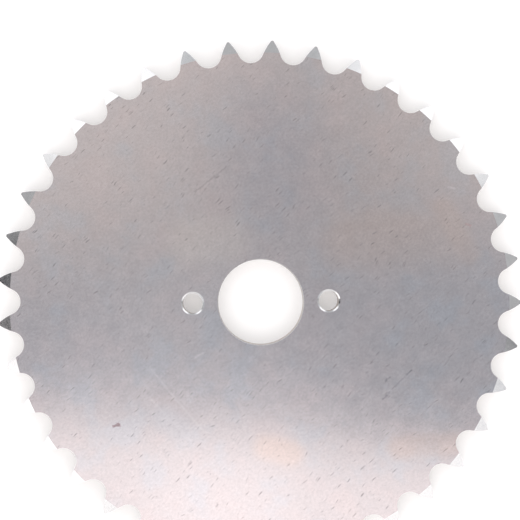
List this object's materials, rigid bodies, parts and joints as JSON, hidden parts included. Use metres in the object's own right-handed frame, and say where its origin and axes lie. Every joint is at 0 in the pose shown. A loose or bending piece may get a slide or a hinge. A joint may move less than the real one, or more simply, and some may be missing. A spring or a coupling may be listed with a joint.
{
  "type": "chain sprocket",
  "caption": "Flat roller chain sprocket plate with bevelled pointed teeth, a plain centre bore and two small chamfered bolt holes beside it.",
  "frame": {"origin": "on the bore's axis at half the plate's thickness", "axes": "+Z along the bore, out of the face that the picture shows; +X through the two bolt holes; +Y completes a right-handed frame"},
  "size_m": [0.1559, 0.1559, 0.0058],
  "materials": {
    "plate": "zinc plated plate steel, satin, with fine rolling marks and small pits; turned bevels and machined edges are brighter"
  },
  "bodies": {
    "root": {"sprocket": "plate"}
  },
  "joints": []
}
